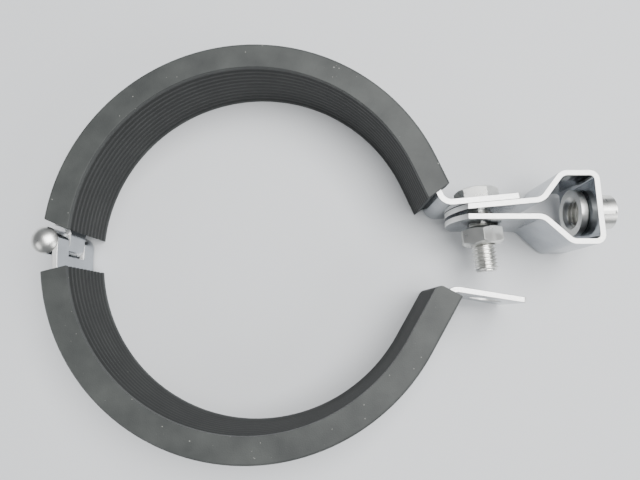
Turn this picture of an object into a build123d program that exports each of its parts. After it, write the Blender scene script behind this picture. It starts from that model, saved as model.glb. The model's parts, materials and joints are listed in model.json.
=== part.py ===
# Rubber lined pipe clamp: a hinged stainless hanging band for a 114.3 mm pipe, with a
# folded swivel bracket and a turn nut for an M10 hanger rod. It lies flat, hinge open.
# Millimetres. The origin is on the pipe axis at half the band's width, +Z runs along
# the pipe, and the bracket points towards +X.
from build123d import *
import os
from math import cos, radians, sin, tan

# Stainless strip
strip_width = 25.0
strip_thickness = 1.8
upper_hole_radius = 4.5
lower_hole_radius = 5.0
ear_corner_radius = 1.0

# Rubber sleeve: an extrusion with a flat slot that the strip runs through
bore_radius = 58.0
pad_thickness = 3.4
cover_thickness = 3.3
sleeve_side_wall = 1.4
slot_clearance = 0.05
sleeve_edge_chamfer = 0.7
lip_reach = 6.0
ridge_pitch = 2.5
plain_margin = 1.4
groove_depth = 0.45
worn_corner_radius = 2.0

# Upper half: angles about the pipe axis, runs along the middle of the strip
upper_arc_start = 24.0
upper_corner_run = 15.0
upper_ear_slope = 5.3
upper_ear_length = 24.9
upper_sleeve_run = 10.9
upper_sleeve_lean = 12.0
upper_hinge_end_angle = 175.9
upper_hinge_lean = 18.8

# Lower half: the same strip, swung open so that its centre lies lower
lower_drop = 2.5
lower_arc_start = -30.0
lower_corner_run = 20.5
lower_ear_slope = -8.9
lower_sleeve_run = 19.8
lower_sleeve_lean = -2.0
lower_hinge_end_angle = -173.1
lower_hinge_lean = 7.1

# Ears
ear_bend_radius = 3.9
hole_from_ear_end = 10.45
lower_ear_shortening = 1.2

# Hinge: the lower strip has two outer knuckles, the upper strip a tongue between them
pin_radius = 2.5
pin_clearance = 0.08
pin_drop = 0.6
tongue_width = 10.0
knuckle_gap = 0.3
curl_angle = 280.0
shoulder_height = 4.3
shoulder_fillet = 2.0
slot_bottom = -5.1
pin_head_radius = 4.5
pin_head_height = 2.2
pin_tail_radius = 3.8
pin_tail_height = 1.1
pin_end_gap = 0.15

# Swivel bracket, from the bolt outwards
plate_gap = 0.1
arm_reach = 17.0
upper_flank_run = 6.8
upper_flank_rise = 8.85
loop_top = 11.05
loop_height = 22.45
loop_lean = 0.65
loop_bottom = 9.7
lower_flank_run = 8.7
lower_flank_rise = 8.1
arm_bend_radius = 4.5
flank_bend_radius = 3.5
wall_bend_radius = 2.3
tip_reach = 11.0
tip_radius = 20.7

# Turn nut
hanger_hole_from_top = 10.8
neck_radius = 5.9
neck_clearance = 0.3
flange_radius = 8.0
flange_thickness = 2.6
flange_gap = 0.15
flange_chamfer = 0.6
neck_reach = 8.4
rod_bore_radius = 4.25
mouth_chamfer = 1.4
wing_radius = 8.0
wing_thickness = 1.1
wing_setback = 1.2
wing_gap = 0.4
wing_corner = 0.9
wing_turn = 11.0

# Clamp bolt M8 x 25 and its nut
shank_radius = 3.95
bolt_length = 23.6
bolt_point = 1.0
head_height = 5.3
across_flats = 13.0
head_turn = -11.4
nut_height = 6.15
nut_turn = 11.5
nut_clearance = 0.08
rim_inset = 0.9
nut_set = 8.4

# Worked out from the sizes above
strip_radius = bore_radius + pad_thickness + strip_thickness / 2
outer_radius = bore_radius + pad_thickness + strip_thickness + cover_thickness
sleeve_width = strip_width + 2 * sleeve_side_wall
ridge_count = round((sleeve_width - 2 * plain_margin) / ridge_pitch)
knuckle_radius = pin_radius + pin_clearance + strip_thickness / 2
hinge_x = -strip_radius - knuckle_radius
ear_hole_distance = upper_ear_length - hole_from_ear_end
lower_ear_length = upper_ear_length - lower_ear_shortening
overcut = 5.0
end_allowance = 5.0


def toward(angle, distance=1.0):
    """Vector of a given length at an angle in the plane of the ring."""
    return Vector(distance * cos(radians(angle)), distance * sin(radians(angle)))


def side_of(points, radii, shift):
    """One face of a folded strip, shifted to the left of its middle line."""
    headings = [(b - a).normalized() for a, b in zip(points, points[1:])]
    lefts = [Vector(-h.Y, h.X) for h in headings]
    corners = [points[0] + lefts[0] * shift]
    side_radii = []
    for i, radius in enumerate(radii):
        before, after = lefts[i], lefts[i + 1]
        corners.append(points[i + 1] + (before + after) * (shift / (1 + before.dot(after))))
        turns_left = headings[i].cross(headings[i + 1]).Z > 0
        side_radii.append(radius - shift if turns_left else radius + shift)
    corners.append(points[-1] + lefts[-1] * shift)
    return FilletPolyline(*corners, radius=side_radii)


def folded_strip(points, radii, thickness, width):
    """Strip folded at the corners of its middle line, lying on its edge."""
    left = side_of(points, radii, thickness / 2)
    right = side_of(points, radii, -thickness / 2)
    outline = [left, Line(left @ 1, right @ 1), right, Line(right @ 0, left @ 0)]
    return extrude(make_face(outline), amount=width / 2, both=True)


def sector(centre, radius, thickness, start, size, width):
    """Part of a ring with a flat section, about an axis along Z."""
    outer = CenterArc(centre, radius + thickness / 2, start, size)
    inner = CenterArc(centre, radius - thickness / 2, start, size)
    outline = [outer, Line(outer @ 1, inner @ 1), inner, Line(inner @ 0, outer @ 0)]
    return extrude(make_face(outline), amount=width / 2, both=True)


# Frames that the pieces share
pin_centre = Vector(hinge_x, -pin_drop)
upper_centre = Vector(0, 0)
lower_centre = Vector(0, -lower_drop)
upper_tangent = toward(upper_arc_start, strip_radius)
lower_tangent = lower_centre + toward(lower_arc_start, strip_radius)
upper_heading = upper_arc_start - 90
lower_heading = lower_arc_start + 90
upper_corner = upper_tangent + toward(upper_heading, upper_corner_run)
lower_corner = lower_tangent + toward(lower_heading, lower_corner_run)
upper_hole = upper_corner + toward(upper_ear_slope, ear_hole_distance)
lower_hole = lower_corner + toward(lower_ear_slope, ear_hole_distance)
bolt_axis = toward(upper_ear_slope - 90)
bolt_seat = upper_hole - bolt_axis * (strip_thickness / 2 + plate_gap)
bolt_frame = Plane(origin=bolt_seat, x_dir=Vector(0, 0, 1), z_dir=bolt_axis)


def ear_points(tangent, corner, slope, length):
    """Middle line from the ring's end round the bend to the ear's end."""
    return [tangent, corner, corner + toward(slope, length)]


def band_body(centre, arc_start, points, thickness, width):
    """Ring and ear of one half, as far as the hinge side of the ring."""
    turn = 180 - arc_start if arc_start > 0 else -180 - arc_start
    ring = sector(centre, strip_radius, thickness, arc_start, turn, width)
    return ring + folded_strip(points, [ear_bend_radius], thickness, width)


def ear_end_cutter(points):
    """What is left outside the rounded corners at the end of an ear."""
    end, slope = points[-1], (points[-1] - points[-2]).normalized()
    block = Plane(origin=end, x_dir=Vector(0, 0, 1), z_dir=Vector(-slope.Y, slope.X))
    reach = 2 * ear_corner_radius
    blank = Rectangle(strip_width + reach, 2 * reach)
    rounded = RectangleRounded(strip_width, 4 * reach, ear_corner_radius)
    keep = Pos(0, 2 * reach) * rounded
    if (block.y_dir.dot(slope)) > 0:
        keep = Pos(0, -2 * reach) * rounded
    return extrude(block * (blank - keep), amount=strip_thickness, both=True)


def curl(start, size, width):
    """Knuckle rolled round the hinge pin."""
    return sector(pin_centre, knuckle_radius, strip_thickness, start, size, width)


def hinge_run(from_y, width):
    """Flat of the strip between the end of its ring and the level of the pin."""
    length = abs(from_y + pin_drop)
    middle = Vector(-strip_radius, (from_y - pin_drop) / 2)
    return Pos(middle) * Box(strip_thickness, length, width)


def upper_band():
    """Upper half: ear, ring, cut shoulders and the tongue rolled round the pin."""
    points = ear_points(upper_tangent, upper_corner, upper_ear_slope, upper_ear_length)
    band = band_body(upper_centre, upper_arc_start, points, strip_thickness, strip_width)
    notch_width = (strip_width - tongue_width) / 2 + overcut
    notch_length = shoulder_height + overcut
    notch = Rectangle(notch_length, notch_width)
    corner = notch.vertices().sort_by(Axis.Y)[:2].sort_by(Axis.X)[-1]
    notch = fillet(corner, shoulder_fillet)
    notch = Pos(shoulder_height - notch_length / 2, (tongue_width + notch_width) / 2) * notch
    frame = Plane(origin=(-strip_radius, 0, 0), x_dir=(0, 1, 0), z_dir=(1, 0, 0))
    cutter = extrude(frame * notch, amount=2 * strip_thickness, both=True)
    band -= cutter + mirror(cutter, Plane.XY)
    band += hinge_run(0, tongue_width) + curl(0, -curl_angle, tongue_width)
    band -= bolt_hole_cutter(upper_hole, upper_ear_slope, upper_hole_radius)
    return band - ear_end_cutter(points)


def lower_band():
    """Lower half: ear, ring and two knuckles with a slot for the tongue between them."""
    points = ear_points(lower_tangent, lower_corner, lower_ear_slope, lower_ear_length)
    band = band_body(lower_centre, lower_arc_start, points, strip_thickness, strip_width)
    band += hinge_run(-lower_drop, strip_width) + curl(0, curl_angle, strip_width)
    slot_width = tongue_width + 2 * knuckle_gap
    slot_height = overcut - slot_bottom
    slot = Box(4 * knuckle_radius, slot_height, slot_width)
    slot = Pos(hinge_x, slot_bottom + slot_height / 2) * slot
    band -= slot
    band -= bolt_hole_cutter(lower_hole, lower_ear_slope, lower_hole_radius)
    return band - ear_end_cutter(points)


def bolt_hole_cutter(centre, slope, radius):
    """Round punch through an ear, square to it."""
    punch = Plane(origin=centre, z_dir=toward(slope + 90))
    return extrude(punch * Circle(radius), amount=2 * strip_thickness, both=True)


def sleeve_section():
    """Section of the rubber: radius along X, width along Y, ridges on the bore side."""
    depth = outer_radius - bore_radius
    blank = Pos(bore_radius + depth / 2, 0) * Rectangle(depth, sleeve_width)
    blank = chamfer(blank.vertices().sort_by(Axis.X)[-2:], sleeve_edge_chamfer)
    window = Rectangle(2 * cover_thickness, sleeve_width - 2 * lip_reach)
    blank -= Pos(outer_radius, 0) * window
    crest = (bore_radius, -ridge_pitch * ridge_count / 2)
    teeth = [crest]
    for i in range(ridge_count):
        height = crest[1] + i * ridge_pitch
        teeth.append((bore_radius + groove_depth, height + ridge_pitch / 2))
        teeth.append((bore_radius, height + ridge_pitch))
    grooves = make_face(Polyline(*teeth, (0, -crest[1]), (0, crest[1]), close=True))
    return Plane.XZ * (blank - grooves)


def trimmed(body, point, outward):
    """Body cut off at a point, square to the outward direction."""
    return split(body, bisect_by=Plane(origin=point, z_dir=outward), keep=Keep.BOTTOM)


def sleeve(arc_start, arc_end, run, lean, end_lean):
    """Rubber sleeve of one half about its own centre, with its ends cut off."""
    side = 1 if arc_start > 0 else -1
    section = sleeve_section()
    beyond = arc_end + side * end_allowance
    ring = revolve(section, Axis.Z, revolution_arc=abs(beyond - arc_start))
    if side < 0:
        ring = mirror(ring, Plane.XZ)
    straight = extrude(section, amount=side * (run + overcut))
    body = Rot(0, 0, arc_start) * (ring + straight)
    heading = arc_start - side * 90
    ear_end = toward(arc_start, strip_radius) + toward(heading, run)
    body = trimmed(body, ear_end, toward(heading + side * lean))
    hinge_end = toward(arc_end, strip_radius)
    return trimmed(body, hinge_end, toward(arc_end + side * (90 - end_lean)))


def upper_rubber():
    """Sleeve of the upper half."""
    body = sleeve(
        upper_arc_start, upper_hinge_end_angle, upper_sleeve_run,
        upper_sleeve_lean, upper_hinge_lean,
    )
    points = ear_points(upper_tangent, upper_corner, upper_ear_slope, upper_ear_length)
    gap = 2 * slot_clearance
    return body - band_body(
        upper_centre, upper_arc_start, points, strip_thickness + gap, strip_width + gap
    )


def worn_corner_cutter():
    """What is missing outside the rounded inner corner at the lower sleeve's ear end."""
    middle = lower_tangent + toward(lower_heading, lower_sleeve_run)
    end = Plane(origin=middle, x_dir=toward(lower_heading - lower_sleeve_lean), z_dir=(0, 0, 1))
    inner = strip_radius - bore_radius
    side = worn_corner_radius
    block = Pos(0, inner - side) * Rectangle(2 * side, 2 * side + overcut, align=Align.MIN)
    keep = Pos(-side, inner - side) * (Circle(side) + Rectangle(2 * side, 2 * side, align=Align.MAX))
    corner = Pos(-side, 0) * block - keep
    return extrude(end * corner, amount=sleeve_width, both=True)


def lower_rubber():
    """Sleeve of the lower half."""
    body = sleeve(
        lower_arc_start, lower_hinge_end_angle, lower_sleeve_run,
        lower_sleeve_lean, lower_hinge_lean,
    )
    points = ear_points(lower_tangent, lower_corner, lower_ear_slope, lower_ear_length)
    body = Pos(lower_centre) * body - worn_corner_cutter()
    gap = 2 * slot_clearance
    return body - band_body(
        lower_centre, lower_arc_start, points, strip_thickness + gap, strip_width + gap
    )


def hinge_pin():
    """Rivet pin: a domed head on top and a flat upset tail below."""
    top = strip_width / 2 + pin_end_gap
    dome_radius = (pin_head_radius**2 + pin_head_height**2) / (2 * pin_head_height)
    profile = make_face(
        [
            Line((0, -top - pin_tail_height), (pin_tail_radius, -top - pin_tail_height)),
            Line((pin_tail_radius, -top - pin_tail_height), (pin_tail_radius, -top)),
            Line((pin_tail_radius, -top), (pin_radius, -top)),
            Line((pin_radius, -top), (pin_radius, top)),
            Line((pin_radius, top), (pin_head_radius, top)),
            RadiusArc((pin_head_radius, top), (0, top + pin_head_height), -dome_radius),
            Line((0, top + pin_head_height), (0, -top - pin_tail_height)),
        ]
    )
    return Pos(pin_centre) * revolve(Plane.XZ * profile, Axis.Z)


def bracket_points():
    """Corners of the bracket's middle line, from the upper tip round to the lower tip."""
    arm_level = upper_hole + bolt_axis * (strip_thickness + plate_gap)
    tip = arm_level - toward(upper_ear_slope, tip_reach + overcut)
    bend = arm_level + toward(upper_ear_slope, arm_reach)
    shoulder = bend + Vector(upper_flank_run, upper_flank_rise)
    top = shoulder + Vector(loop_top, 0)
    bottom = top + Vector(loop_lean, -loop_height)
    foot = bottom - Vector(loop_bottom, 0)
    lower_bend = foot + Vector(-lower_flank_run, lower_flank_rise)
    lower_tip = Vector(tip.X, lower_bend.Y)
    return [tip, bend, shoulder, top, bottom, foot, lower_bend, lower_tip]


def hanger_frame():
    """Plane on the middle of the end wall, at the hanger hole, facing outwards."""
    points = bracket_points()
    down = (points[4] - points[3]).normalized()
    centre = points[3] + down * hanger_hole_from_top
    return Plane(origin=centre, x_dir=Vector(0, 0, 1), z_dir=Vector(-down.Y, down.X))


def swivel_bracket():
    """Trapezoidal loop of strip with two arms that the bolt passes through."""
    radii = [
        arm_bend_radius, flank_bend_radius, wall_bend_radius,
        wall_bend_radius, flank_bend_radius, arm_bend_radius,
    ]
    points = bracket_points()
    body = folded_strip(points, radii, strip_thickness, strip_width)
    plan_centre = upper_hole.X - tip_reach + tip_radius
    plan_length = points[4].X + overcut - plan_centre
    plan = Circle(tip_radius)
    plan += Pos(plan_length / 2, 0) * Rectangle(plan_length, 2 * tip_radius)
    body &= extrude(Plane.XZ * Pos(plan_centre, 0) * plan, amount=2 * loop_height, both=True)
    body -= extrude(bolt_frame * Circle(upper_hole_radius), amount=bolt_length)
    hole = Circle(neck_radius + neck_clearance)
    return body - extrude(hanger_frame() * hole, amount=2 * strip_thickness, both=True)


def turn_nut():
    """Flanged nut that turns in the end wall, with two wings outside it."""
    inside = strip_thickness / 2 + flange_gap
    outside = strip_thickness / 2 + wing_gap
    reach = strip_thickness / 2 + neck_reach
    flange = Pos(0, 0, -inside - flange_thickness / 2) * Cylinder(flange_radius, flange_thickness)
    flange = chamfer(flange.edges().sort_by(Axis.Z)[-1], flange_chamfer)
    length = inside + reach
    neck = Pos(0, 0, reach - length / 2) * Cylinder(neck_radius, length)
    wing_length = reach - wing_setback - outside
    wing = Rectangle(2 * wing_radius, wing_length)
    wing = fillet(wing.vertices().sort_by(Axis.Y)[-2:], wing_corner)
    wing = Pos(0, outside + wing_length / 2) * wing
    wings = extrude(Plane.XZ * wing, amount=wing_thickness / 2, both=True)
    body = flange + neck + Rot(0, 0, wing_turn) * wings
    bore = Pos(0, 0, reach - length) * Cylinder(rod_bore_radius, 4 * length)
    mouth = rod_bore_radius + mouth_chamfer
    cone = Cone(mouth, rod_bore_radius, mouth_chamfer, align=(Align.CENTER, Align.CENTER, Align.MIN))
    body -= bore
    body -= Pos(0, 0, -inside - flange_thickness) * cone
    return hanger_frame() * body


def hexagon_head(height, turn):
    """Hexagonal prism turned down to a round face at its far end."""
    blank = RegularPolygon(across_flats / 2, 6, major_radius=False)
    prism = extrude(Rot(0, 0, turn) * blank, amount=height)
    corner = across_flats / 2 / cos(radians(30))
    rim = across_flats / 2 - rim_inset
    drop = (corner - rim) * tan(radians(30))
    profile = [(0, 0), (corner, 0), (corner, height - drop), (rim, height), (0, height)]
    turned = make_face(Polyline(*profile, close=True))
    return prism & revolve(Plane.XZ * turned, Axis.Z)


def clamp_bolt():
    """Hexagon bolt with its head on the upper ear and its point towards the lower ear."""
    head = mirror(hexagon_head(head_height, head_turn), Plane.XY)
    shank = Pos(0, 0, bolt_length / 2) * Cylinder(shank_radius, bolt_length)
    shank = chamfer(shank.edges().sort_by(Axis.Z)[-1], bolt_point)
    return bolt_frame * (head + shank)


def clamp_nut():
    """Hexagon nut on the bolt, run up against the bracket's lower arm."""
    body = hexagon_head(nut_height, nut_turn)
    body -= Pos(0, 0, nut_height / 2) * Cylinder(shank_radius + nut_clearance, 2 * nut_height)
    return bolt_frame * Pos(0, 0, nut_set) * body


pieces = {
    "upper_band": upper_band,
    "lower_band": lower_band,
    "upper_rubber": upper_rubber,
    "lower_rubber": lower_rubber,
    "hinge_pin": hinge_pin,
    "swivel_bracket": swivel_bracket,
    "turn_nut": turn_nut,
    "clamp_bolt": clamp_bolt,
    "clamp_nut": clamp_nut,
}

os.makedirs("parts", exist_ok=True)
for name, build in pieces.items():
    export_step(build(), f"parts/{name}.step")
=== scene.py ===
"""Looks of a rubber lined pipe clamp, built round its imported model.

The frame gives every size and place. Each steel piece is a copy of its own node with
its edges broken, the two threads are cut as threads, and the rubber is softened.
"""

import json
from math import cos, pi, radians, tan

import bmesh
import bpy
from mathutils import Matrix, Vector
from mathutils.bvhtree import BVHTree


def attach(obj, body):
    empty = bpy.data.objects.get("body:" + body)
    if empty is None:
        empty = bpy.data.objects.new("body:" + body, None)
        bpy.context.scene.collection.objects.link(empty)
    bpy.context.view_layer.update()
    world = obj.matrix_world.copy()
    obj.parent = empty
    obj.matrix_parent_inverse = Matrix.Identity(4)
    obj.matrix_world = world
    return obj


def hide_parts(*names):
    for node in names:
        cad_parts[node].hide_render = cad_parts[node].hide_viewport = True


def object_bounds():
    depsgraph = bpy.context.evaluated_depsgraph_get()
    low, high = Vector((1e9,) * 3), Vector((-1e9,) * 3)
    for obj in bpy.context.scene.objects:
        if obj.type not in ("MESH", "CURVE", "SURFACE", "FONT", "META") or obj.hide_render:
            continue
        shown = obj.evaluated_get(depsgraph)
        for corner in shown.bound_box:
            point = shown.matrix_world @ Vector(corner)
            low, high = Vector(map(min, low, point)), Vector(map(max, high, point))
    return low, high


bl_info = {
    "name": "Rubber Lined Pipe Clamp",
    "version": (1, 0, 0),
    "blender": (4, 5, 0),
    "location": "3D View > Sidebar > Pipe Clamp",
    "description": "Builds the finished pieces of a rubber lined pipe clamp",
    "category": "Object",
}

MM = 0.001
MERGE_DISTANCE = 0.002 * MM
FLAT_ANGLE = radians(0.05)
SMOOTH_ANGLE = radians(28)
EDGE_SEGMENTS = 2
STRIP_THICKNESS = 1.8 * MM
CUT_EDGE_DEPTH = 1.3 * STRIP_THICKNESS
RIDGE_LEAN = (0.2, 0.5)
# Pitch of the painted highlight stripes round the ridge flanks in the rubber's bore.
HIGHLIGHT_STRIPE_PITCH = 1.25 * MM
THREAD_STEPS = 36
CHAMFER_ANGLE = radians(30)

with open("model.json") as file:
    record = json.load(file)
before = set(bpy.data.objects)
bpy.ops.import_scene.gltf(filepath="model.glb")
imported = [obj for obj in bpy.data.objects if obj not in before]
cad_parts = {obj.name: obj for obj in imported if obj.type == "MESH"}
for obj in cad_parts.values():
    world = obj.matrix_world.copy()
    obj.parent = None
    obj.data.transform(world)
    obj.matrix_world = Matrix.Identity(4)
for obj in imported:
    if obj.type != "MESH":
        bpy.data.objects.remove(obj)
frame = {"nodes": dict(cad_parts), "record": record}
cad_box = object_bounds()
joints = {joint["name"]: joint for joint in frame["record"]["behaviour"]["joints"]}


# ---------------------------------------------------------------- settings


class ClampSizes(bpy.types.PropertyGroup):
    """Sizes of the finish that a user may change."""

    strip_edge: bpy.props.FloatProperty(
        name="Strip edge", description="Rounding of the sheared strip edges",
        default=0.2 * MM, min=0.0, unit="LENGTH",
    )
    turned_edge: bpy.props.FloatProperty(
        name="Turned edge", description="Rounding of the edges on turned pieces",
        default=0.15 * MM, min=0.0, unit="LENGTH",
    )
    rubber_edge: bpy.props.FloatProperty(
        name="Rubber edge", description="Rounding of the rubber's edges and ridges",
        default=0.22 * MM, min=0.0, unit="LENGTH",
    )
    bolt_pitch: bpy.props.FloatProperty(
        name="Bolt pitch", description="Thread pitch of the clamp bolt",
        default=1.25 * MM, min=0.2 * MM, unit="LENGTH",
    )
    rod_pitch: bpy.props.FloatProperty(
        name="Rod pitch", description="Thread pitch in the turn nut",
        default=1.5 * MM, min=0.2 * MM, unit="LENGTH",
    )


class ClampColours(bpy.types.PropertyGroup):
    """Colours that a user may change, as sRGB hex values."""

    strip: bpy.props.StringProperty(
        name="Strip", description="Cold rolled stainless steel", default="#B2B6BB"
    )
    # Whiter than the strip: a painted highlight on the slit edges, which face the light.
    sheared_edge_highlight: bpy.props.StringProperty(
        name="Sheared edge", description="Edge of the slit strip", default="#F6F6F4"
    )
    turned: bpy.props.StringProperty(
        name="Turned steel", description="Bolt, nuts and pin", default="#E4E4E0"
    )
    rubber: bpy.props.StringProperty(
        name="Rubber", description="Rubber where it is clean", default="#2E3130"
    )
    bloom: bpy.props.StringProperty(
        name="Bloom", description="Rubber where it has a grey bloom", default="#424543"
    )
    # Painted shade: the near black colour put between the painted highlight stripes on the
    # ridge flanks.
    painted_groove_shade: bpy.props.StringProperty(
        name="Groove", description="Rubber at the bottom of its grooves", default="#121413"
    )
    dust: bpy.props.StringProperty(
        name="Dust", description="Specks of dust on the rubber", default="#A9A9A2"
    )
    floor: bpy.props.StringProperty(
        name="Floor", description="Plain floor", default="#DCDEE0"
    )


# ---------------------------------------------------------------- materials

# Each span is the part of a noise, from 0 to 1, that a change is spread over.
NOISE_SPAN = (0.3, 0.7)
SMEAR_SPAN = (0.35, 0.65)
BLOOM_SPAN = (0.35, 0.68)
SPECK_SPAN = (0.77, 0.81)
DUST_COVER = 0.6

ROLLED_GRAIN = (1, 1, 0.12)
DULL_SHARE = 0.86
STRIP_ROUGHNESS = (0.13, 0.24)
SHEARED_ROUGHNESS = (0.42, 0.58)
TURNED_ROUGHNESS = (0.26, 0.38)

# Painted highlight stripes: how far each reaches, and how much painted shade lies on and
# between them.
HIGHLIGHT_STRIPE_REACH = 0.4 * HIGHLIGHT_STRIPE_PITCH
GROOVE_SHADE = (0.45, 0.95)


def linear(hex_colour):
    """Linear colour of an sRGB hex value."""
    parts = [int(hex_colour[i : i + 2], 16) / 255 for i in (1, 3, 5)]
    return [p / 12.92 if p <= 0.04045 else ((p + 0.055) / 1.055) ** 2.4 for p in parts] + [1.0]


def add_node(tree, kind, settings=None, links=None):
    """Adds a node, sets its properties and sockets, and links its inputs."""
    node = tree.nodes.new(kind)
    for key, value in (settings or {}).items():
        if isinstance(key, str) and hasattr(node, key):
            setattr(node, key, value)
        else:
            node.inputs[key].default_value = value
    for key, socket in (links or {}).items():
        tree.links.new(socket, node.inputs[key])
    return node


def new_material(name, settings):
    """Material with one Principled shader. Returns it with its tree, shader and place."""
    material = bpy.data.materials.new(name)
    material.use_nodes = True
    tree = material.node_tree
    tree.nodes.clear()
    shader = add_node(tree, "ShaderNodeBsdfPrincipled", settings)
    add_node(tree, "ShaderNodeOutputMaterial", links={"Surface": shader.outputs["BSDF"]})
    place = add_node(tree, "ShaderNodeTexCoord").outputs["Object"]
    return material, tree, shader, place


def noise(tree, place, size, detail, stretch=(1, 1, 1)):
    """Noise whose grains are about size metres across."""
    mapped = add_node(tree, "ShaderNodeMapping", {"Scale": stretch}, {"Vector": place})
    settings = {"Scale": 1 / size, "Detail": detail}
    return add_node(
        tree, "ShaderNodeTexNoise", settings, {"Vector": mapped.outputs["Vector"]}
    ).outputs["Fac"]


def spread(tree, value, low, high, to_low, to_high):
    """Value spread from one range to another."""
    settings = {"From Min": low, "From Max": high, "To Min": to_low, "To Max": to_high}
    return add_node(tree, "ShaderNodeMapRange", settings, {"Value": value}).outputs["Result"]


def blend(tree, factor, first, second):
    """Colour between two colours or sockets."""
    node = add_node(tree, "ShaderNodeMix", {"data_type": "RGBA"})
    tree.links.new(factor, node.inputs["Factor"])
    for socket, colour in zip((node.inputs[6], node.inputs[7]), (first, second)):
        if isinstance(colour, bpy.types.NodeSocket):
            tree.links.new(colour, socket)
        else:
            socket.default_value = colour
    return node.outputs[2]


def bump(tree, shader, height, depth):
    """Relief of the given real depth on the shader."""
    node = add_node(
        tree, "ShaderNodeBump", {"Strength": 1.0, "Distance": depth}, {"Height": height}
    )
    tree.links.new(node.outputs["Normal"], shader.inputs["Normal"])


def cold_rolled_stainless(colours):
    """Cold rolled stainless strip: bright and nearly a mirror, with faint rolling
    marks and fingerprints that spread the reflections a little."""
    material, tree, shader, place = new_material(
        "cold_rolled_stainless", {"Metallic": 1.0}
    )
    smears = noise(tree, place, size=9 * MM, detail=4.0)
    grain = noise(tree, place, size=0.35 * MM, detail=2.0, stretch=ROLLED_GRAIN)
    clean = linear(colours.strip)
    dull = [c * DULL_SHARE for c in clean[:3]] + [1.0]
    tint = blend(tree, spread(tree, smears, *SMEAR_SPAN, 0, 1), clean, dull)
    tree.links.new(tint, shader.inputs["Base Color"])
    roughness = spread(tree, smears, *NOISE_SPAN, *STRIP_ROUGHNESS)
    tree.links.new(roughness, shader.inputs["Roughness"])
    bump(tree, shader, grain, depth=0.004 * MM)
    return material


def sheared_stainless_painted_highlight(colours):
    """Slit edge of the strip: torn and burnished across its thickness, so it is duller than
    the rolled faces. Its whiter colour is a painted highlight where the edges face the light."""
    material, tree, shader, place = new_material("sheared_stainless_painted_highlight", {"Metallic": 1.0})
    # painted highlight: the edge colour is whiter than the rolled strip's
    shader.inputs["Base Color"].default_value = linear(colours.sheared_edge_highlight)
    marks = noise(tree, place, size=0.5 * MM, detail=3.0)
    roughness = spread(tree, marks, *NOISE_SPAN, *SHEARED_ROUGHNESS)
    tree.links.new(roughness, shader.inputs["Roughness"])
    bump(tree, shader, marks, depth=0.006 * MM)
    return material


def turned_stainless(colours):
    """Turned and cold headed stainless steel: bright and even, with a soft satin sheen."""
    material, tree, shader, place = new_material("turned_stainless", {"Metallic": 1.0})
    shader.inputs["Base Color"].default_value = linear(colours.turned)
    sheen = noise(tree, place, size=2.5 * MM, detail=3.0)
    grain = noise(tree, place, size=0.25 * MM, detail=2.0)
    roughness = spread(tree, sheen, *NOISE_SPAN, *TURNED_ROUGHNESS)
    tree.links.new(roughness, shader.inputs["Roughness"])
    bump(tree, shader, grain, depth=0.001 * MM)
    return material


def rubber_surface(name, colours):
    """Extruded rubber, black with carbon: matt, with a soft grey bloom and a few specks
    of dust. Returns the material with its tree, shader, place and colour."""
    material, tree, shader, place = new_material(
        name, {"Roughness": 0.58, "IOR": 1.52, "Specular IOR Level": 0.5}
    )
    cloud = noise(tree, place, size=14 * MM, detail=5.0)
    grain = noise(tree, place, size=0.45 * MM, detail=3.0)
    specks = noise(tree, place, size=1.1 * MM, detail=1.0)
    bloomed = spread(tree, cloud, *BLOOM_SPAN, 0, 1)
    base = blend(tree, bloomed, linear(colours.rubber), linear(colours.bloom))
    dusty = spread(tree, specks, *SPECK_SPAN, 0, DUST_COVER)
    colour = blend(tree, dusty, base, linear(colours.dust))
    bump(tree, shader, grain, depth=0.04 * MM)
    return material, tree, shader, place, colour


def extruded_rubber(colours):
    """Smooth sides and outside of the sleeve."""
    material, tree, shader, _, colour = rubber_surface("extruded_rubber", colours)
    tree.links.new(colour, shader.inputs["Base Color"])
    return material


def ridged_rubber_painted_stripes(colours):
    """Flanks of the ridges in the sleeve's bore: thin painted highlight stripes run round them
    at a fine pitch, and between the stripes the colour is painted shade, close to black."""
    material, tree, shader, place, colour = rubber_surface("ridged_rubber_painted_stripes", colours)
    along = add_node(tree, "ShaderNodeSeparateXYZ", links={"Vector": place}).outputs["Z"]
    across = add_node(
        tree, "ShaderNodeMath", {"operation": "PINGPONG", 1: HIGHLIGHT_STRIPE_PITCH / 2}, {0: along}
    ).outputs["Value"]
    # painted shade, lightest on each painted highlight stripe and near the groove colour
    # between them
    depth = spread(tree, across, 0.0, HIGHLIGHT_STRIPE_REACH, *GROOVE_SHADE)
    shaded = blend(tree, depth, colour, linear(colours.painted_groove_shade))
    tree.links.new(shaded, shader.inputs["Base Color"])
    return material


def plain_floor(colours):
    """Matt painted board."""
    material, _, shader, _ = new_material(
        "matt_board", {"Roughness": 0.9, "Specular IOR Level": 0.2}
    )
    shader.inputs["Base Color"].default_value = linear(colours.floor)
    return material


MAKERS = {
    maker.__name__: maker
    for maker in (
        cold_rolled_stainless, sheared_stainless_painted_highlight, turned_stainless, extruded_rubber,
        ridged_rubber_painted_stripes, plain_floor,
    )
}


def material_of(name):
    """Material by its maker's name, made the first time it is asked for."""
    if name not in bpy.data.materials:
        made = MAKERS[name](bpy.context.scene.clamp_colours)
        made.name = name
    return bpy.data.materials[name]


# ---------------------------------------------------------------- shapes


def copy_of_node(node, second_material=None):
    """Merged copy of a node's mesh, with its flat faces whole. The test given picks the
    faces that wear the second material."""
    shape = bmesh.new()
    shape.from_mesh(frame["nodes"][node].data)
    bmesh.ops.remove_doubles(shape, verts=shape.verts, dist=MERGE_DISTANCE)
    if second_material:
        tree = BVHTree.FromBMesh(shape)
        for face in shape.faces:
            face.material_index = int(second_material(face, tree))
    bmesh.ops.dissolve_limit(
        shape, angle_limit=FLAT_ANGLE, verts=shape.verts, edges=shape.edges,
        delimit={"MATERIAL"},
    )
    return shape


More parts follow.
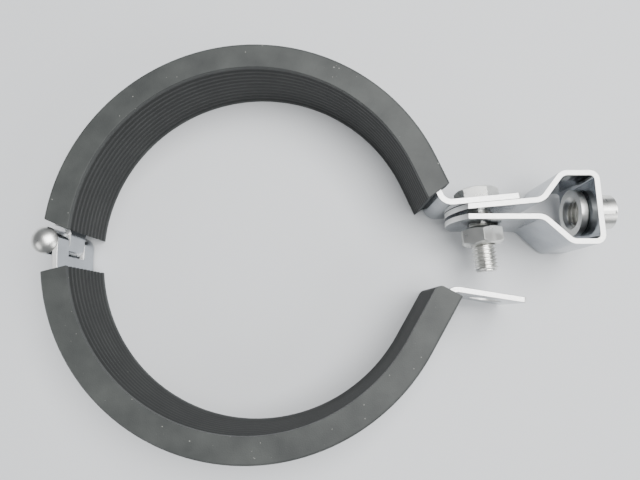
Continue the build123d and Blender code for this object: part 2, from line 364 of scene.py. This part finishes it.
def is_sheared(face, tree):
    """True on a cut edge of the strip, where the steel behind is deeper than its thickness."""
    start = face.calc_center_median() - face.normal * MERGE_DISTANCE
    hit = tree.ray_cast(start, -face.normal)
    return hit[3] is None or hit[3] > CUT_EDGE_DEPTH


def is_ridge(face, tree):
    """True on the flank of a ridge, which leans along the pipe and faces its axis."""
    normal, place = face.normal, face.calc_center_median()
    low, high = RIDGE_LEAN
    return low < abs(normal.z) < high and normal.xy.dot(place.xy) < 0


def new_object(name, shape, *materials):
    """Object at the origin from a bmesh, which is freed."""
    mesh = bpy.data.meshes.new(name)
    shape.to_mesh(mesh)
    shape.free()
    for material in materials:
        mesh.materials.append(material_of(material))
    for polygon in mesh.polygons:
        polygon.use_smooth = True
    mesh.set_sharp_from_angle(angle=SMOOTH_ANGLE)
    piece = bpy.data.objects.new(name, mesh)
    bpy.context.scene.collection.objects.link(piece)
    return piece


def break_edges(piece, width):
    """Rounds a piece's edges and keeps its flat faces flat in the light."""
    bevel = piece.modifiers.new("edges", "BEVEL")
    bevel.width = width
    bevel.segments = EDGE_SEGMENTS
    bevel.limit_method = "ANGLE"
    bevel.angle_limit = SMOOTH_ANGLE
    bevel.use_clamp_overlap = True
    weighted = piece.modifiers.new("flats", "WEIGHTED_NORMAL")
    weighted.keep_sharp = False


def stand_in(piece, node):
    """Puts a finished piece in its node's place, on the node's body."""
    bodies = frame["record"]["behaviour"]["bodies"]
    body = next(name for name, nodes in bodies.items() if node in nodes)
    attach(piece, body)
    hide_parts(node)


def thread_frame(joint):
    """Matrix that takes +Z to a joint's axis, with its origin on the joint."""
    turn = Vector(joint["axis"]).to_track_quat("Z", "Y").to_matrix().to_4x4()
    return Matrix.Translation(Vector(joint["pos_m"])) @ turn


def threaded_rod(outer, depth, pitch, start, end):
    """Closed rod along Z with a helical thread, cut square at both ends."""
    turns = int((end - start) / pitch) + 4
    low = start - 2 * pitch
    # one turn: half of the root, a flank, the crest, a flank and the root's other half
    outline = ((0, 0), (pitch / 8, 0), (pitch * 7 / 16, depth), (pitch * 9 / 16, depth),
               (pitch * 7 / 8, 0), (pitch, 0))
    rod = bmesh.new()
    verts = [rod.verts.new((outer - depth + rise, 0, low + along)) for along, rise in outline]
    edges = [rod.edges.new(pair) for pair in zip(verts, verts[1:])]
    bmesh.ops.spin(
        rod, geom=verts + edges, cent=(0, 0, 0), axis=(0, 0, 1), angle=2 * pi * turns,
        dvec=(0, 0, pitch / THREAD_STEPS), steps=THREAD_STEPS * turns,
    )
    bmesh.ops.remove_doubles(rod, verts=rod.verts, dist=MERGE_DISTANCE)
    for height, direction in ((start, -1), (end, 1)):
        cut_off(rod, (0, 0, height), (0, 0, direction))
    bmesh.ops.recalc_face_normals(rod, faces=rod.faces)
    return rod


def turned(profile, steps):
    """Closed body turned about Z from a profile of (radius, height) points."""
    body = bmesh.new()
    verts = [body.verts.new((radius, 0, height)) for radius, height in profile]
    edges = [body.edges.new(pair) for pair in zip(verts, verts[1:])]
    bmesh.ops.spin(
        body, geom=verts + edges, cent=(0, 0, 0), axis=(0, 0, 1), angle=2 * pi,
        steps=steps, use_merge=True,
    )
    bmesh.ops.remove_doubles(body, verts=body.verts, dist=MERGE_DISTANCE)
    bmesh.ops.recalc_face_normals(body, faces=body.faces)
    return body


def cut_off(shape, point, normal):
    """Cuts away what lies beyond a plane and closes the cut."""
    cut = bmesh.ops.bisect_plane(
        shape, geom=shape.verts[:] + shape.edges[:] + shape.faces[:], dist=MERGE_DISTANCE / 4,
        plane_co=point, plane_no=normal, clear_outer=True,
    )
    edges = [e for e in cut["geom_cut"] if isinstance(e, bmesh.types.BMEdge) and e.is_boundary]
    bmesh.ops.edgeloop_fill(shape, edges=edges)


def combined(shape, other, operation):
    """Result of a Boolean between two closed shapes. Both are freed."""
    first = new_object("work_a", shape)
    second = new_object("work_b", other)
    second.hide_render = True
    boolean = first.modifiers.new("cut", "BOOLEAN")
    boolean.operation = operation
    boolean.solver = "EXACT"
    boolean.object = second
    seen = first.evaluated_get(bpy.context.evaluated_depsgraph_get())
    result = bmesh.new()
    result.from_mesh(seen.to_mesh())
    seen.to_mesh_clear()
    for work in (first, second):
        mesh = work.data
        bpy.data.objects.remove(work)
        bpy.data.meshes.remove(mesh)
    bmesh.ops.remove_doubles(result, verts=result.verts, dist=MERGE_DISTANCE)
    return result


# ---------------------------------------------------------------- operators


class CLAMP_OT_strips(bpy.types.Operator):
    """Makes the two bands and the swivel bracket, with sheared edges"""

    bl_idname = "clamp.strips"
    bl_label = "Steel strips"

    def execute(self, context):
        for node in ("upper_band", "lower_band", "swivel_bracket"):
            shape = copy_of_node(node, is_sheared)
            # the cut edges wear the steel with the painted highlight
            piece = new_object(
                node + "_finished", shape, "cold_rolled_stainless", "sheared_stainless_painted_highlight"
            )
            break_edges(piece, context.scene.clamp_sizes.strip_edge)
            stand_in(piece, node)
        return {"FINISHED"}


class CLAMP_OT_rubbers(bpy.types.Operator):
    """Makes the two rubber sleeves"""

    bl_idname = "clamp.rubbers"
    bl_label = "Rubber sleeves"

    def execute(self, context):
        for node in ("upper_rubber", "lower_rubber"):
            shape = copy_of_node(node, is_ridge)
            piece = new_object(node + "_finished", shape, "extruded_rubber", "ridged_rubber_painted_stripes")
            break_edges(piece, context.scene.clamp_sizes.rubber_edge)
            stand_in(piece, node)
        return {"FINISHED"}


class CLAMP_OT_pin(bpy.types.Operator):
    """Makes the hinge pin"""

    bl_idname = "clamp.pin"
    bl_label = "Hinge pin"

    def execute(self, context):
        piece = new_object("hinge_pin_finished", copy_of_node("hinge_pin"), "turned_stainless")
        break_edges(piece, context.scene.clamp_sizes.turned_edge)
        stand_in(piece, "hinge_pin")
        return {"FINISHED"}


class CLAMP_OT_nut(bpy.types.Operator):
    """Makes the clamp nut, turned down at one of its faces"""

    bl_idname = "clamp.nut"
    bl_label = "Clamp nut"

    half_flats = 6.5 * MM
    rim_inset = 0.9 * MM
    steps = 96

    def execute(self, context):
        place = thread_frame(joints["bolt_turn"])
        nut = copy_of_node("clamp_nut")
        bmesh.ops.transform(nut, matrix=place.inverted(), verts=nut.verts)
        start = min(v.co.z for v in nut.verts)
        end = max(v.co.z for v in nut.verts)
        corner = self.half_flats / cos(CHAMFER_ANGLE) + MM
        rim = self.half_flats - self.rim_inset
        drop = (corner - rim) * tan(CHAMFER_ANGLE)
        profile = ((0, start - MM), (rim, start - MM), (rim, start), (corner, start + drop),
                   (corner, end + MM), (0, end + MM))
        nut = combined(nut, turned(profile, self.steps), "INTERSECT")
        bmesh.ops.transform(nut, matrix=place, verts=nut.verts)
        piece = new_object("clamp_nut_finished", nut, "turned_stainless")
        break_edges(piece, context.scene.clamp_sizes.turned_edge)
        stand_in(piece, "clamp_nut")
        return {"FINISHED"}


class CLAMP_OT_bolt(bpy.types.Operator):
    """Makes the clamp bolt with its thread"""

    bl_idname = "clamp.bolt"
    bl_label = "Clamp bolt"

    radius = 3.95 * MM
    thread_depth = 0.7 * MM
    plain_neck = 1.0 * MM
    tip_radius = 3.1 * MM

    def execute(self, context):
        place = thread_frame(joints["bolt_turn"])
        head = copy_of_node("clamp_bolt")
        bmesh.ops.transform(head, matrix=place.inverted(), verts=head.verts)
        length = max(v.co.z for v in head.verts)
        cut_off(head, (0, 0, self.plain_neck), (0, 0, 1))
        pitch = context.scene.clamp_sizes.bolt_pitch
        rod = threaded_rod(
            self.radius, self.thread_depth, pitch, self.plain_neck - pitch / 2, length
        )
        for vert in rod.verts:
            limit = self.tip_radius + length - vert.co.z
            reach = vert.co.xy.length
            if reach > limit:
                vert.co.xy *= limit / reach
        bolt = combined(head, rod, "UNION")
        bmesh.ops.transform(bolt, matrix=place, verts=bolt.verts)
        piece = new_object("clamp_bolt_finished", bolt, "turned_stainless")
        break_edges(piece, context.scene.clamp_sizes.turned_edge / 2)
        stand_in(piece, "clamp_bolt")
        return {"FINISHED"}


class CLAMP_OT_turn_nut(bpy.types.Operator):
    """Makes the turn nut with the hanger rod's thread tapped through it"""

    bl_idname = "clamp.turn_nut"
    bl_label = "Turn nut"

    tap_radius = 5.0 * MM
    thread_depth = 0.85 * MM
    tap_reach = 16.0 * MM

    def execute(self, context):
        place = thread_frame(joints["turn_nut_spin"])
        nut = copy_of_node("turn_nut")
        bmesh.ops.transform(nut, matrix=place.inverted(), verts=nut.verts)
        pitch = context.scene.clamp_sizes.rod_pitch
        tap = threaded_rod(
            self.tap_radius, self.thread_depth, pitch, -self.tap_reach, self.tap_reach
        )
        nut = combined(nut, tap, "DIFFERENCE")
        bmesh.ops.transform(nut, matrix=place, verts=nut.verts)
        piece = new_object("turn_nut_finished", nut, "turned_stainless")
        break_edges(piece, context.scene.clamp_sizes.turned_edge / 2)
        stand_in(piece, "turn_nut")
        return {"FINISHED"}


class CLAMP_OT_stage(bpy.types.Operator):
    """Sets the floor, the lights and the camera"""

    bl_idname = "clamp.stage"
    bl_label = "Stage"

    floor_reach = 3.0
    # name, place, side and power of each soft box
    lights = (
        ("overhead", (0.25, 0.15, 0.9), 0.8, 18.0),
        ("right_fill", (0.75, -0.45, 0.5), 0.5, 3.0),
        ("left_fill", (-0.75, -0.45, 0.5), 0.5, 1.5),
    )
    world_colour = (0.75, 0.78, 0.82, 1)
    world_strength = 0.25
    camera_place = (25.7 * MM, -24.8 * MM, 170.4 * MM)
    camera_pitch = radians(8.71)
    camera_roll = radians(0.97)
    camera_lens = 28.125

    def execute(self, context):
        floor = bmesh.new()
        rest = Matrix.Translation((0, 0, cad_box[0].z))
        bmesh.ops.create_grid(
            floor, x_segments=1, y_segments=1, size=self.floor_reach, matrix=rest
        )
        new_object("floor", floor, "plain_floor")
        for light in self.lights:
            self.add_light(*light)
        world = bpy.data.worlds.new("studio")
        world.use_nodes = True
        background = world.node_tree.nodes["Background"]
        background.inputs["Color"].default_value = self.world_colour
        background.inputs["Strength"].default_value = self.world_strength
        context.scene.world = world
        lens = bpy.data.cameras.new("camera")
        lens.lens = self.camera_lens
        lens.clip_start = 10 * MM
        camera = bpy.data.objects.new("camera", lens)
        context.scene.collection.objects.link(camera)
        pitch = Matrix.Rotation(self.camera_pitch, 4, "X")
        roll = Matrix.Rotation(self.camera_roll, 4, "Y")
        camera.matrix_world = Matrix.Translation(self.camera_place) @ (pitch @ roll)
        context.scene.camera = camera
        return {"FINISHED"}

    def add_light(self, name, place, size, power):
        """Square soft box that faces the origin."""
        data = bpy.data.lights.new(name, "AREA")
        data.size = size
        data.energy = power
        lamp = bpy.data.objects.new(name, data)
        bpy.context.scene.collection.objects.link(lamp)
        turn = Vector(place).to_track_quat("Z", "Y").to_matrix().to_4x4()
        lamp.matrix_world = Matrix.Translation(place) @ turn


OPERATORS = (
    CLAMP_OT_strips, CLAMP_OT_rubbers, CLAMP_OT_pin, CLAMP_OT_nut, CLAMP_OT_bolt,
    CLAMP_OT_turn_nut, CLAMP_OT_stage,
)


class CLAMP_PT_panel(bpy.types.Panel):
    """Lists the clamp's operators, sizes and colours."""

    bl_idname = "CLAMP_PT_panel"
    bl_label = "Pipe Clamp"
    bl_space_type = "VIEW_3D"
    bl_region_type = "UI"
    bl_category = "Pipe Clamp"

    def draw(self, context):
        for operator in OPERATORS:
            self.layout.operator(operator.bl_idname)
        for group in (context.scene.clamp_sizes, context.scene.clamp_colours):
            for name in group.__annotations__:
                self.layout.prop(group, name)


CLASSES = (ClampSizes, ClampColours) + OPERATORS + (CLAMP_PT_panel,)


def register():
    for cls in CLASSES:
        bpy.utils.register_class(cls)
    bpy.types.Scene.clamp_sizes = bpy.props.PointerProperty(type=ClampSizes)
    bpy.types.Scene.clamp_colours = bpy.props.PointerProperty(type=ClampColours)


def unregister():
    del bpy.types.Scene.clamp_colours
    del bpy.types.Scene.clamp_sizes
    for cls in reversed(CLASSES):
        bpy.utils.unregister_class(cls)


def main():
    """Builds every piece and the stage."""
    register()
    for operator in OPERATORS:
        group, name = operator.bl_idname.split(".")
        getattr(getattr(bpy.ops, group), name)()


if __name__ == "__main__":
    main()
